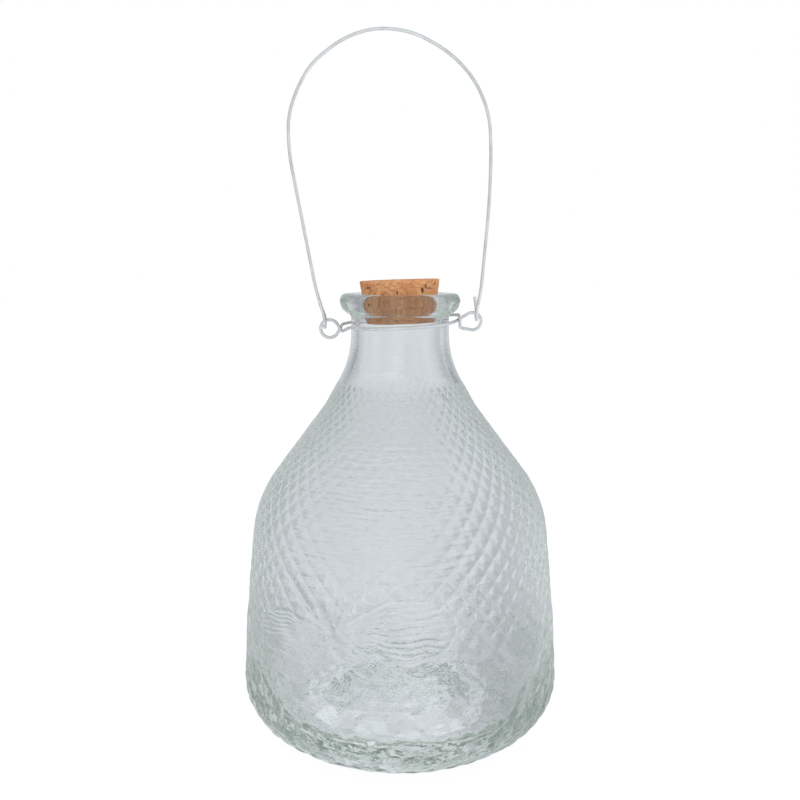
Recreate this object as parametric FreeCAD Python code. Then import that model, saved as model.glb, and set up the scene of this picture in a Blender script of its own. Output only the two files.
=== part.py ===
import FreeCAD, Part
import math
import os

# Hanging glass trap bottle: one pressed glass body, a tapered cork in its mouth, a wire collar with two
# eyes round its neck, and a wire bail hooked into the eyes.
# Millimetres. The origin is the centre of the base, +Z is up, and +X points at the right-hand eye.

V = FreeCAD.Vector

# ---- Glass bottle -------------------------------------------------------------------------------------
NECK_RADIUS = 21.2          # outside of the plain neck
BORE_RADIUS = 17.8          # inside of the neck
MOUTH_RADIUS = 16.32        # the tight land at the mouth, where the cork seats
RIM_HEIGHT = 191.4          # top of the mouth bead
FLOOR_HEIGHT = 8.5          # inside floor
PUNT_HEIGHT = 4.0           # hollow under the base

# Corners as (radius, height, bend radius), from the middle of the underside up the outside.
OUTER_CORNERS = [
    (22.0, PUNT_HEIGHT, 16.0),
    (33.0, 0.0, 10.0),
    (53.8, 0.0, 32.0),
    (70.45, 13.7, 19.0),
    (69.2, 44.1, 200.0),
    (63.5, 101.9, 51.0),
    (32.6, 143.5, 40.0),
    (NECK_RADIUS, 164.1, 41.0),
    (NECK_RADIUS, 181.9, 1.5),
    (24.9, 184.6, 4.0),
    (26.15, 188.3, 2.6),
    (24.9, RIM_HEIGHT, 2.0),
]
# The same, from the crest of the bead down the inside to the floor.
INNER_CORNERS = [
    (20.5, RIM_HEIGHT, 5.0),
    (MOUTH_RADIUS, RIM_HEIGHT - 0.8, 1.4),
    (MOUTH_RADIUS, 184.6, 2.0),
    (BORE_RADIUS, 182.6, 2.0),
    (BORE_RADIUS, 163.4, 38.0),
    (29.6, 142.2, 40.0),
    (60.3, 100.9, 50.0),
    (66.0, 44.5, 150.0),
    (65.2, 21.5, 14.0),
    (53.3, FLOOR_HEIGHT, 18.0),
]

# ---- Cork stopper -------------------------------------------------------------------------------------
CORK_HEIGHT = 18.1
CORK_TOP_RADIUS = 17.25
CORK_BOTTOM_RADIUS = 14.65
CORK_BASE_HEIGHT = 179.1    # height of the cork's lower end
CORK_EDGE_ROUND = 0.5
CORK_TILT = 1.8             # degrees: the cork is pushed in slightly crooked, its +X side higher
CORK_SEAT_HEIGHT = 190.0    # height of the line where it meets the mouth

# ---- Neck wire ----------------------------------------------------------------------------------------
NECK_WIRE_RADIUS = 0.7
COLLAR_RADIUS = 22.3        # centre line of the wire round the neck
COLLAR_HEIGHT = 179.1       # height of the collar's plane on the bottle's axis
COLLAR_SLOPE_X = 0.045      # rise of the collar's plane per millimetre along +X
COLLAR_SLOPE_Y = 0.052      # rise of the collar's plane per millimetre along +Y
WIRE_KINK = 1.2             # centre-line radius of the wire's sharp bends

LEFT_EYE_CENTRE = (-30.45, 176.25)      # x, z
LEFT_EYE_RADIUS = 3.9
LEFT_LOWER_KINK = V(-25.1, -0.95, 175.1)
LEFT_UPPER_KINK = V(-25.1, 0.95, 178.1)
LEFT_FRONT_BEND = V(-21.4, -7.5, 177.2)
LEFT_FRONT_BEND_RADIUS = 6.0

RIGHT_EYE_CENTRE = (31.4, 179.5)        # x, z
RIGHT_EYE_RADIUS = 3.7
RIGHT_UPPER_KINK = V(25.7, -0.85, 182.2)
RIGHT_LOWER_KINK = V(26.0, -0.85, 176.6)
RIGHT_FRONT_BEND = V(24.0, 0.75, 179.25)
RIGHT_FRONT_BEND_RADIUS = 2.2

EYE_DEPTH = 0.45            # how far an eye's wire lies before and behind the XZ plane where it closes

# ---- Bail wire ----------------------------------------------------------------------------------------
BAIL_WIRE_RADIUS = 0.7
HOOK_RADIUS = 2.1           # centre line of the hairpin bend at each end
HOOK_DROP = 0.6             # depth of the bend's centre below the hinge line
LEFT_HINGE = V(-32.6, 0, 179.5)         # where the bail turns on the left eye's wire
RIGHT_HINGE = V(33.1, 0, 182.8)
LEFT_TAIL = V(-34.9, HOOK_RADIUS, 186.9)
RIGHT_TAIL = V(32.4, HOOK_RADIUS, 189.9)
HOOK_LEG_RISE = 2.2         # height above the hinge where a hook's straight sides end
HOOK_LEG_BEND = 8.0         # radius of the slight bend there
BEND_SHARE = 0.48           # share of the shorter neighbouring run that each bend of the bail takes

# The bail's corners as (x, z), from the left leg over the top to the right leg.
BAIL_CORNERS = [
    (-36.0, 193.0),
    (-46.5, 249.9),
    (-46.6, 264.5),
    (-42.7, 275.6),
    (-36.6, 285.7),
    (-24.0, 295.3),
    (-11.0, 299.6),
    (4.8, 298.4),
    (20.8, 289.8),
    (31.0, 279.3),
    (37.3, 265.4),
    (38.2, 249.5),
    (37.7, 228.7),
    (34.7, 192.7),
]
BAIL_TOP = 299.0            # height at which the bail's plane reaches y = 0

SHORTEST_RUN = 1e-4         # straight runs shorter than this are left out


# ---- Paths of straight runs and tangent arcs ----------------------------------------------------------
def turn_angle(before, corner, after):
    """Angle in radians by which a path turns at a corner."""
    return (corner - before).getAngle(after - corner)


def bend_reaches(points, radii):
    """Distance from each corner to the ends of its arc, shared out where two arcs would overlap."""
    reaches = [0.0] * len(points)
    for i in range(1, len(points) - 1):
        turn = turn_angle(points[i - 1], points[i], points[i + 1])
        reaches[i] = radii[i] * math.tan(turn / 2)
    for i in range(len(points) - 1):
        run = (points[i + 1] - points[i]).Length
        wanted = reaches[i] + reaches[i + 1]
        if wanted > run:
            reaches[i] *= run / wanted
            reaches[i + 1] *= run / wanted
    return reaches


def rounded_path(points, radii):
    """Edges of a path through points, with each inner corner rounded by a tangent arc."""
    reaches = bend_reaches(points, radii)
    edges = []
    start = points[0]
    for i in range(1, len(points) - 1):
        corner = points[i]
        back = (points[i - 1] - corner).normalize()
        ahead = (points[i + 1] - corner).normalize()
        half_turn = turn_angle(points[i - 1], corner, points[i + 1]) / 2
        radius = reaches[i] / math.tan(half_turn)
        arc_start = corner + back * reaches[i]
        arc_end = corner + ahead * reaches[i]
        inward = (back + ahead).normalize()
        arc_middle = corner + inward * (radius / math.cos(half_turn) - radius)
        if (arc_start - start).Length > SHORTEST_RUN:
            edges.append(Part.LineSegment(start, arc_start).toShape())
        edges.append(Part.Arc(arc_start, arc_middle, arc_end).toShape())
        start = arc_end
    if (points[-1] - start).Length > SHORTEST_RUN:
        edges.append(Part.LineSegment(start, points[-1]).toShape())
    return edges


def arc_corners(centre, radius, start, end, count):
    """Corners of a path that touches a circle at start and end (degrees) and rounds into its arc."""
    step = (end - start) / count
    reach = radius / math.cos(math.radians(step / 2))
    corners = []
    for i in range(count):
        angle = math.radians(start + step * (i + 0.5))
        corners.append((centre[0] + reach * math.cos(angle), centre[1] + reach * math.sin(angle)))
    return corners


def touch_angle(centre, radius, point, side):
    """Direction in degrees, from a circle's centre, of where the tangent from a point touches it."""
    dx = point[0] - centre[0]
    dy = point[1] - centre[1]
    spread = math.acos(radius / math.hypot(dx, dy))
    return math.degrees(math.atan2(dy, dx) + side * spread)


def wire_solid(points, radii, wire_radius, name):
    """Round wire swept along a rounded path, with its volume compared with section times length."""
    edges = rounded_path(points, radii)
    path = Part.Wire(edges)
    direction = (points[1] - points[0]).normalize()
    section = Part.Wire([Part.Circle(points[0], direction, wire_radius).toShape()])
    solid = path.makePipeShell([section], True, False)
    expected = math.pi * wire_radius ** 2 * path.Length
    print("%s: length %.1f" % (name, path.Length))
    print("%s: volume %.2f, section x length %.2f" % (name, solid.Volume, expected))
    return solid


# ---- Pieces -------------------------------------------------------------------------------------------
def glass_bottle():
    """One turned shell: thick base with a hollow under it, wall, shoulder, neck, bead and bore."""
    corners = OUTER_CORNERS + INNER_CORNERS
    points = [V(0, 0, PUNT_HEIGHT)]
    points += [V(radius, 0, height) for radius, height, _ in corners]
    points += [V(0, 0, FLOOR_HEIGHT)]
    radii = [0.0] + [bend for _, _, bend in corners] + [0.0]
    edges = rounded_path(points, radii)
    edges.append(Part.LineSegment(points[-1], points[0]).toShape())
    profile = Part.Face(Part.Wire(edges))
    return profile.revolve(V(0, 0, 0), V(0, 0, 1), 360)


def cork_stopper():
    """Tapered cork with slightly rounded ends, tilted where it seats in the mouth."""
    cork = Part.makeCone(CORK_BOTTOM_RADIUS, CORK_TOP_RADIUS, CORK_HEIGHT, V(0, 0, CORK_BASE_HEIGHT))
    rims = [edge for edge in cork.Edges if isinstance(edge.Curve, Part.Circle)]
    cork = cork.makeFillet(CORK_EDGE_ROUND, rims)
    cork.rotate(V(0, 0, CORK_SEAT_HEIGHT), V(0, 1, 0), -CORK_TILT)
    return cork


def on_collar(x, y):
    """Point of the collar's tilted plane above (x, y)."""
    return V(x, y, COLLAR_HEIGHT + COLLAR_SLOPE_X * x + COLLAR_SLOPE_Y * y)


def collar_touch(kink, side):
    """Direction in degrees of where the wire from a kink beside an eye meets the collar's circle."""
    return touch_angle((0, 0), COLLAR_RADIUS, (kink.x, kink.y), side)


def collar_point(angle):
    """Point of the collar's circle in the given direction (degrees)."""
    turn = math.radians(angle)
    return on_collar(COLLAR_RADIUS * math.cos(turn), COLLAR_RADIUS * math.sin(turn))


def eye_corners(centre, radius, start, end, count, first_y, last_y):
    """Corners of an eye's loop in the XZ plane, which moves from first_y to last_y as it closes."""
    corners = []
    for i, (x, z) in enumerate(arc_corners(centre, radius, start, end, count)):
        corners.append(V(x, first_y + (last_y - first_y) * i / (count - 1), z))
    return corners


def left_eye():
    """Corners of the left eye, from its lower kink over the top and round to its upper kink."""
    low = LEFT_LOWER_KINK
    high = LEFT_UPPER_KINK
    start = touch_angle(LEFT_EYE_CENTRE, LEFT_EYE_RADIUS, (low.x, low.z), 1)
    end = touch_angle(LEFT_EYE_CENTRE, LEFT_EYE_RADIUS, (high.x, high.z), -1) + 360
    return eye_corners(LEFT_EYE_CENTRE, LEFT_EYE_RADIUS, start, end, 4, -EYE_DEPTH, EYE_DEPTH)


def right_eye():
    """Corners of the right eye, from its lower kink under and round to its front bend."""
    low = RIGHT_LOWER_KINK
    front = RIGHT_FRONT_BEND
    start = touch_angle(RIGHT_EYE_CENTRE, RIGHT_EYE_RADIUS, (low.x, low.z), 1)
    end = touch_angle(RIGHT_EYE_CENTRE, RIGHT_EYE_RADIUS, (front.x, front.z), -1) + 360
    return eye_corners(RIGHT_EYE_CENTRE, RIGHT_EYE_RADIUS, start, end, 3, -EYE_DEPTH, EYE_DEPTH)


def neck_wire():
    """Collar with an eye on each side, swept in two halves that are joined before and behind the neck."""
    front_left = collar_touch(LEFT_LOWER_KINK, 1) + 360
    front_right = collar_touch(RIGHT_FRONT_BEND, -1) + 360
    back_left = collar_touch(LEFT_UPPER_KINK, -1)
    back_right = collar_touch(RIGHT_UPPER_KINK, 1)
    front = arc_corners((0, 0), COLLAR_RADIUS, front_left, front_right, 2)
    back = arc_corners((0, 0), COLLAR_RADIUS, back_right, back_left, 2)
    front_joint = collar_point((front_left + front_right) / 2)
    back_joint = collar_point((back_left + back_right) / 2)

    left_loop = left_eye()
    left_points = [front_joint, on_collar(*front[0]), LEFT_FRONT_BEND, LEFT_LOWER_KINK]
    left_points += left_loop + [LEFT_UPPER_KINK, on_collar(*back[1]), back_joint]
    left_radii = [0.0, COLLAR_RADIUS, LEFT_FRONT_BEND_RADIUS, WIRE_KINK]
    left_radii += [LEFT_EYE_RADIUS] * len(left_loop) + [WIRE_KINK, COLLAR_RADIUS, 0.0]

    right_loop = right_eye()
    right_points = [back_joint, on_collar(*back[0]), RIGHT_UPPER_KINK, RIGHT_LOWER_KINK]
    right_points += right_loop + [RIGHT_FRONT_BEND, on_collar(*front[1]), front_joint]
    right_radii = [0.0, COLLAR_RADIUS, WIRE_KINK, WIRE_KINK]
    right_radii += [RIGHT_EYE_RADIUS] * len(right_loop) + [RIGHT_FRONT_BEND_RADIUS, COLLAR_RADIUS, 0.0]

    left_half = wire_solid(left_points, left_radii, NECK_WIRE_RADIUS, "neck wire, left half")
    right_half = wire_solid(right_points, right_radii, NECK_WIRE_RADIUS, "neck wire, right half")
    return left_half.fuse(right_half)


def bail_point(x, z):
    """Point of the bail's flat plane, which leans from the front of the hooks to y = 0 at the top."""
    lean = (BAIL_TOP - z) / (BAIL_TOP - LEFT_HINGE.z)
    return V(x, -HOOK_RADIUS * lean, z)


def hook_points(hinge, tail):
    """Points of a hairpin hook, from its tail behind the eye, round below it, to the leg before it."""
    top = hinge.z + HOOK_LEG_RISE
    bottom = hinge.z - HOOK_DROP - HOOK_RADIUS
    back = [V(hinge.x, HOOK_RADIUS, top), V(hinge.x, HOOK_RADIUS, bottom)]
    front = [V(hinge.x, -HOOK_RADIUS, bottom), V(hinge.x, -HOOK_RADIUS, top)]
    return [tail] + back + front


def bail_wire():
    """One wire: tail, left hook, left leg, crown, right leg, right hook and tail."""
    left_hook = hook_points(LEFT_HINGE, LEFT_TAIL)
    right_hook = hook_points(RIGHT_HINGE, RIGHT_TAIL)[::-1]
    hook_radii = [0.0, HOOK_LEG_BEND, HOOK_RADIUS, HOOK_RADIUS, HOOK_LEG_BEND]
    crown = [bail_point(x, z) for x, z in BAIL_CORNERS]
    crown_radii = []
    route = left_hook[-1:] + crown + right_hook[:1]
    for before, corner, after in zip(route[:-2], route[1:-1], route[2:]):
        reach = BEND_SHARE * min((corner - before).Length, (after - corner).Length)
        crown_radii.append(reach / math.tan(turn_angle(before, corner, after) / 2))
    points = left_hook + crown + right_hook
    radii = hook_radii + crown_radii + hook_radii[::-1]
    return wire_solid(points, radii, BAIL_WIRE_RADIUS, "bail wire")


PIECES = {
    "glass_bottle": glass_bottle,
    "cork_stopper": cork_stopper,
    "neck_wire": neck_wire,
    "bail_wire": bail_wire,
}

os.makedirs("parts", exist_ok=True)
for node, make in PIECES.items():
    shape = make()
    print("%s: valid %s, solids %d, volume %.1f" % (node, shape.isValid(), len(shape.Solids), shape.Volume))
    shape.exportStep("parts/%s.step" % node)
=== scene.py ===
"""Looks of the hanging glass trap bottle: patterned glass, a pitted cork and two galvanised wires.

Metres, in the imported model's frame: the base stands on z = 0, +Z is up and the front faces -Y.
Lengths written in millimetres carry MM in their use.
"""
import math

import bmesh
import bpy
import numpy as np
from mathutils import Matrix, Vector


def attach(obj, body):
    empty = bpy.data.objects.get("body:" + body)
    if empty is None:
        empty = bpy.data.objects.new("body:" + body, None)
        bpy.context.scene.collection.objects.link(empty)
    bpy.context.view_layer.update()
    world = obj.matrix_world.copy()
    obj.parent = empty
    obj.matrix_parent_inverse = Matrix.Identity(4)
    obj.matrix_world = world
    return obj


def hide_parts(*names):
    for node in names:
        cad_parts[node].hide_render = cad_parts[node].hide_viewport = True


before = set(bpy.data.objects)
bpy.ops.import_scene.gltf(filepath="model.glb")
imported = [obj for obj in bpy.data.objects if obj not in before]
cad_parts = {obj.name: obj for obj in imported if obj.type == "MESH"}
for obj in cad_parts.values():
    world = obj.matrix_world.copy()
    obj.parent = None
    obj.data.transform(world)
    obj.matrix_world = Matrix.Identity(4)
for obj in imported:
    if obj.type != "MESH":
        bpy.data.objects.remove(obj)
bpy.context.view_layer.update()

MM = 0.001

# ---- Glass outline (mm): corners as (radius, height, bend radius) --------------------------------------
PUNT_HEIGHT = 4.0
FLOOR_HEIGHT = 8.5
OUTER_CORNERS = [
    (22.0, PUNT_HEIGHT, 16.0),
    (33.0, 0.0, 10.0),
    (53.8, 0.0, 32.0),
    (70.45, 13.7, 19.0),
    (69.2, 44.1, 200.0),
    (63.5, 101.9, 51.0),
    (32.6, 143.5, 40.0),
    (21.2, 164.1, 41.0),
    (21.2, 181.9, 1.5),
    (24.9, 184.6, 4.0),
    (26.15, 188.3, 2.6),
    (24.9, 191.4, 2.0),
]
INNER_CORNERS = [
    (20.5, 191.4, 5.0),
    (16.32, 190.6, 1.4),
    (16.32, 184.6, 2.0),
    (17.8, 182.6, 2.0),
    (17.8, 163.4, 38.0),
    (29.6, 142.2, 40.0),
    (60.3, 100.9, 50.0),
    (66.0, 44.5, 150.0),
    (65.2, 21.5, 14.0),
    (53.3, FLOOR_HEIGHT, 18.0),
]
ARC_STEPS = 24              # straight pieces in each rounded corner
SAME_POINT = 1e-6           # points closer than this (mm) count as one
NORMAL_REACH = 0.25         # how far (mm) the outline's direction is measured out on each side

# ---- Diamond lattice ------------------------------------------------------------------------------------
CELLS_ROUND = 48            # diamonds round the bottle
FINE = 6                    # mesh columns per diamond
LATTICE_FOOT = 54.0         # radius on the underside where the lattice starts
LATTICE_TOP = 151.8         # height where it ends, at the root of the neck
PLAIN_COLUMNS = 144         # mesh columns of the smooth parts
CELL_BASE = 4.4             # a diamond's height is CELL_BASE + CELL_GROWTH * radius
CELL_GROWTH = 0.07
RIDGE_SHARE = 0.037         # ridge height as a share of the diamond's height
RIDGE_WIDTH = 0.2           # half width of a ridge, in diamonds
RIDGE_SHARPNESS = 1.3       # above 1, the ridge is narrower at its top
RIDGE_SUNK = 0.4            # share of the ridge's height by which the whole lattice is let in
DIMPLE_SHARE = 0.048        # depth of the dimple in each diamond, as a share of the diamond's height
DIMPLE_WIDTH = 0.17
EDGE_FADE = 1.2             # how far from its borders the relief is whole, in diamonds
TOP_HASTE = (0.6, 3.0)      # how much sooner it is whole below its upper border, at the back and in front
DRIFT = 0.03                # how far the diamonds wander, in diamonds
DRIFT_LENGTH = 45.0         # and over how many millimetres
WORN_FROM, WORN_TO = 50.0, 90.0     # heights (mm) between which the diamonds lose most of their relief
WORN_LOSS = 0.7
FIGURE_LOSS = 0.8           # how much of their relief they lose where the insect is
FOOT_FROM, FOOT_TO = 10.0, 17.0     # heights between which they turn into the domes of the foot
FOOT_LIFT = 16.0            # how much higher the domes reach at the sides and the back
FOOT_SPREAD = 1.3           # and their fading upper end rises by this share of it
FOOT_RELIEF = 0.40          # mm
RIPPLE_FLATNESS = 1.7       # fine ripples are wider than they are high
# Ripples: their relief, what wear adds to it, and their wavelength (all mm).
FINE_RIPPLE = (0.030, 0.060, 7.5)
BROAD_RIPPLE = (0.05, 0.07, 18.0)
CROWN_HEIGHT = 149.0        # uneven marks under the plain neck
CROWN_REACH = 1.5
CROWN_RELIEF = 0.9
CROWN_LENGTH = 7.0
CROWN_STRETCH = (0.5, 0.5, 2.4)                 # they run sideways
CROWN_MARKS = [(-0.08, 0.30), (0.60, 0.16)]     # their middles and half widths (radians round the bottle)
RIPPLE_BORDER = 0.5         # the ripples are whole this far from the lattice's borders, in diamonds
WARP_BORDER = 0.3           # share of a diamond over which mesh lines stay even at the borders
RIDGE_GRID = [0.0, 0.11, 0.31, 0.5, 0.69, 0.89, 1.0]    # mesh lines between two ridges
RISE_SAMPLES = 4000         # places along the outline at which the lattice's height is summed up

# ---- Smooth glass ---------------------------------------------------------------------------------------
FOOT_STEPS = (1.0, 3.0)     # closest and widest spacing of its rings under the foot
REST_STEPS = (0.55, 2.2)    # and over the neck and the inside
STEP_BEND = math.radians(9)     # how much the outline should bend from ring to ring
JOINT_GAP = 0.8             # from the lattice to the next smooth ring
CAP_REACH = 2.0             # radius of the closing fans
CALM_FROM, CALM_TO = 126.0, 152.0   # heights between which the waviness of the inside dies out
LOW_FROM, LOW_TO = 20.0, 60.0       # and between which its short waves do
RING_RELIEF, RING_SPACING, RING_WANDER = 0.05, 8.0, 1.8
LONG_RELIEF, LONG_LENGTH = 0.06, 26.0
SHORT_RELIEF, SHORT_LENGTH = 0.10, 12.0


def wave_noise(points, wavelength, waves, seed):
    """Smooth repeatable noise, mostly within -1.5 to 1.5: a sum of plane waves in random directions."""
    random = np.random.default_rng(seed)
    total = np.zeros(len(points))
    for _ in range(waves):
        direction = random.normal(size=3)
        direction /= np.linalg.norm(direction)
        length = wavelength * random.uniform(0.7, 1.5)
        phase = random.uniform(0, 2 * math.pi)
        total += np.sin(points @ direction * (2 * math.pi / length) + phase)
    return total / math.sqrt(waves)


def smoothstep(low, high, value):
    """0 below low, 1 above high, smooth in between."""
    t = np.clip((value - low) / (high - low), 0, 1)
    return t * t * (3 - 2 * t)


def around(radius, angle, height):
    """Points at radii, angles from the front and heights."""
    return np.stack([radius * np.sin(angle), -radius * np.cos(angle), height], axis=1)


def next_round(i, count):
    """The place after i on a closed ring."""
    return (i + 1) % count


# ---- Outline -------------------------------------------------------------------------------------------
def directions(before, corner, after):
    """Unit directions of the straight lines into and out of a corner, and the angle between them."""
    arriving = (corner - before) / np.linalg.norm(corner - before)
    leaving = (after - corner) / np.linalg.norm(after - corner)
    return arriving, leaving, math.acos(arriving @ leaving)


def arc_reaches(points, bends):
    """How far each corner's arc reaches along its two lines, cut back where neighbours would meet."""
    reaches = np.zeros(len(points))
    for i in range(1, len(points) - 1):
        _, _, turn = directions(points[i - 1], points[i], points[i + 1])
        reaches[i] = bends[i] * math.tan(turn / 2)
    for i in range(len(points) - 1):
        run = np.linalg.norm(points[i + 1] - points[i])
        wanted = reaches[i] + reaches[i + 1]
        if wanted > run:
            reaches[i] *= run / wanted
            reaches[i + 1] *= run / wanted
    return reaches


def corner_arc(before, corner, after, reach):
    """Points of the arc that rounds one corner."""
    arriving, leaving, turn = directions(before, corner, after)
    radius = reach / math.tan(turn / 2)
    side = 1 if arriving[0] * leaving[1] - arriving[1] * leaving[0] > 0 else -1
    centre = corner - arriving * reach + side * radius * np.array([-arriving[1], arriving[0]])
    arc = []
    for k in range(ARC_STEPS):
        # Blend of the two directions that stays on the arc's circle.
        a = math.sin(turn * (1 - k / ARC_STEPS)) / math.sin(turn)
        b = math.sin(turn * k / ARC_STEPS) / math.sin(turn)
        heading = arriving * a + leaving * b
        arc.append(centre - side * radius * np.array([-heading[1], heading[0]]))
    return arc + [corner + leaving * reach]


def rounded_outline(corners):
    """Polyline through (radius, height, bend) corners, each rounded by a tangent arc."""
    points = [np.array(corner[:2], float) for corner in corners]
    reaches = arc_reaches(points, [corner[2] for corner in corners])
    line = [points[0]]
    for i in range(1, len(points) - 1):
        line += corner_arc(points[i - 1], points[i], points[i + 1], reaches[i])
    line.append(points[-1])
    return np.array(line)


class Outline:
    """The bottle's section as a path from the middle of the underside, up the outside and down the inside."""

    def __init__(self):
        start = [(0.0, PUNT_HEIGHT, 0.0)]
        end = [(0.0, FLOOR_HEIGHT, 0.0)]
        self.points = rounded_outline(start + OUTER_CORNERS + INNER_CORNERS + end)
        steps = np.linalg.norm(np.diff(self.points, axis=0), axis=1)
        keep = np.concatenate([[True], steps > SAME_POINT])
        self.points = self.points[keep]
        steps = np.linalg.norm(np.diff(self.points, axis=0), axis=1)
        self.lengths = np.concatenate([[0.0], np.cumsum(steps)])

    def at(self, length):
        """Radius and height at a path length."""
        radius = np.interp(length, self.lengths, self.points[:, 0])
        height = np.interp(length, self.lengths, self.points[:, 1])
        return radius, height

    def normal(self, length):
        """Outward direction (radius, height) at a path length."""
        r0, z0 = self.at(np.asarray(length) - NORMAL_REACH)
        r1, z1 = self.at(np.asarray(length) + NORMAL_REACH)
        size = np.hypot(r1 - r0, z1 - z0) + 1e-12
        return (z1 - z0) / size, -(r1 - r0) / size

    def first(self, test):
        """Path length of the first outline point that passes a test on (radius, height)."""
        return self.lengths[next(i for i, point in enumerate(self.points) if test(*point))]


# ---- Generic winged insect, in relief low on the front ---------------------------------------------------
INSECT_RADIUS = 68.5        # radius (mm) at which the relief's sideways distances are measured
# Wings as (root x, root z, tip x, tip z, half width), in mm round the bottle and up it.
WINGS = [
    (-24.0, 66.0, 22.5, 68.0, 12.0),
    (-31.0, 64.0, -68.0, 57.0, 8.0),
    (-24.0, 60.0, 0.0, 50.0, 5.0),
    (-29.5, 58.0, -51.0, 44.0, 5.0),
]
WING_LINE = 0.65            # half width of a wing's outline
VEIN_LINE = 0.45            # and of its veins
VEIN_WANDER = 0.5           # how far they stray
WANDER_LENGTH = 14.0
WING_SKEW = 1.25            # above 1, a wing is widest beyond its middle
WING_FULLNESS = 0.62        # below 1, its ends are blunt
WING_RELIEF = 0.36
VEIN_RELIEF = 0.26
VEIN_FAN = 1.6              # how soon the veins have spread, the larger the sooner
VEINS = (-0.78, -0.56, -0.33, -0.1, 0.13, 0.36, 0.58, 0.8)     # where they run, as shares of the half width
LEAST_WIDTH = 0.01          # keeps a wing's ends from closing to nothing
# Body parts as (x, z, half length, half width, relief), along the body's slant.
BODY_PARTS = [
    (-32.8, 73.4, 2.8, 2.4, 1.1),
    (-29.4, 68.2, 4.8, 3.0, 1.5),
    (-25.4, 60.0, 6.6, 2.7, 1.3),
]
BODY_SLANT = math.radians(122)
BODY_RING_SPACING, BODY_RING_DEPTH = 2.6, 0.3
LIMB_LINE, LIMB_RELIEF = 0.8, 1.1       # half width and relief of the feelers and legs at their roots
LIMB_TAPER = 0.5
FEELERS = [(-35.0, 71.0, -48.5, 82.8), (-27.0, 70.5, -26.0, 77.0)]
LEGS = [
    (-26.0, 68.5, -22.5, 76.0),
    (-32.5, 68.0, -39.5, 72.5),
    (-25.0, 62.0, -17.0, 57.5),
    (-31.0, 61.5, -37.0, 55.0),
]
INSECT_SIDES = (-72, 23)    # where the mesh is refined for it: mm round the bottle
INSECT_HEIGHTS = (40, 86)   # and mm up it


def wing_relief(x, z, wing):
    """Relief (mm) and cover (0 to 1) of one wing: a raised outline with wavy veins that fan from its root."""
    root_x, root_z, tip_x, tip_z, half_width = wing
    span = math.hypot(tip_x - root_x, tip_z - root_z)
    along_x = (tip_x - root_x) / span
    along_z = (tip_z - root_z) / span
    along = ((x - root_x) * along_x + (z - root_z) * along_z) / span
    across = (z - root_z) * along_x - (x - root_x) * along_z
    places = np.stack([x, z, np.zeros(len(x))], axis=1)
    across = across + VEIN_WANDER * wave_noise(places, WANDER_LENGTH, 5, 31)
    inside = np.clip(along, 0, 1)
    width = half_width * np.sin(math.pi * inside ** WING_SKEW) ** WING_FULLNESS + LEAST_WIDTH
    to_edge = np.abs(across) - width
    ends = np.maximum(np.maximum(-along, along - 1), 0) * span
    to_edge = np.hypot(np.maximum(to_edge, 0), ends) + np.minimum(to_edge, 0)
    relief = WING_RELIEF * np.exp(-(to_edge / WING_LINE) ** 2)
    cover = 1 - smoothstep(-0.3, 0.9, to_edge)
    fan = half_width * np.sin(math.pi / 2 * np.clip(VEIN_FAN * inside, 0, 1)) + LEAST_WIDTH
    for share in VEINS:
        from_vein = across - share * fan
        fade = smoothstep(0.03, 0.25, along) * smoothstep(0, 0.8, -to_edge)
        relief = np.maximum(relief, VEIN_RELIEF * fade * np.exp(-(from_vein / VEIN_LINE) ** 2))
    return relief, cover


def limb_relief(x, z, line):
    """Relief of a raised straight line that gets lower towards its far end."""
    x0, z0, x1, z1 = line
    span_sq = (x1 - x0) ** 2 + (z1 - z0) ** 2
    t = np.clip(((x - x0) * (x1 - x0) + (z - z0) * (z1 - z0)) / span_sq, 0, 1)
    away = np.hypot(x - x0 - t * (x1 - x0), z - z0 - t * (z1 - z0))
    return LIMB_RELIEF * (1 - LIMB_TAPER * t) * np.exp(-(away / LIMB_LINE) ** 2)


def body_relief(x, z, part):
    """Relief and cover of one rounded body part, with rings across the long one."""
    centre_x, centre_z, half_length, half_width, height = part
    dx = x - centre_x
    dz = z - centre_z
    along = (dx * math.cos(BODY_SLANT) + dz * math.sin(BODY_SLANT)) / half_length
    across = (-dx * math.sin(BODY_SLANT) + dz * math.cos(BODY_SLANT)) / half_width
    distance = np.hypot(along, across)
    dome = np.sqrt(np.clip(1 - distance ** 2, 0, 1))
    if half_length > 2 * half_width:
        rings = 0.5 + 0.5 * np.cos(along * half_length * 2 * math.pi / BODY_RING_SPACING)
        dome *= 1 - BODY_RING_DEPTH * rings
    return height * dome, 1 - smoothstep(0.9, 1.25, distance)


def insect(x, z):
    """Relief (mm) of the whole insect and how far it takes the lattice's place."""
    relief = np.zeros(len(x))
    cover = np.zeros(len(x))
    for wing in WINGS:
        height, mask = wing_relief(x, z, wing)
        relief = np.maximum(relief, height)
        cover = np.maximum(cover, mask)
    for line in FEELERS + LEGS:
        relief = np.maximum(relief, limb_relief(x, z, line))
    for part in BODY_PARTS:
        height, mask = body_relief(x, z, part)
        relief = np.maximum(relief, height)
        cover = np.maximum(cover, mask)
    return relief, cover


# ---- Glass mesh ----------------------------------------------------------------------------------------
def warp(value):
    """Moves mesh lines towards the ridges at whole numbers, for crisper ridges."""
    whole = np.floor(value)
    grid = np.linspace(0, 1, len(RIDGE_GRID))
    return whole + np.interp(value - whole, grid, RIDGE_GRID)


def to_ridge(value):
    """Distance to the nearest whole number."""
    return np.abs(value - np.round(value))


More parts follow.
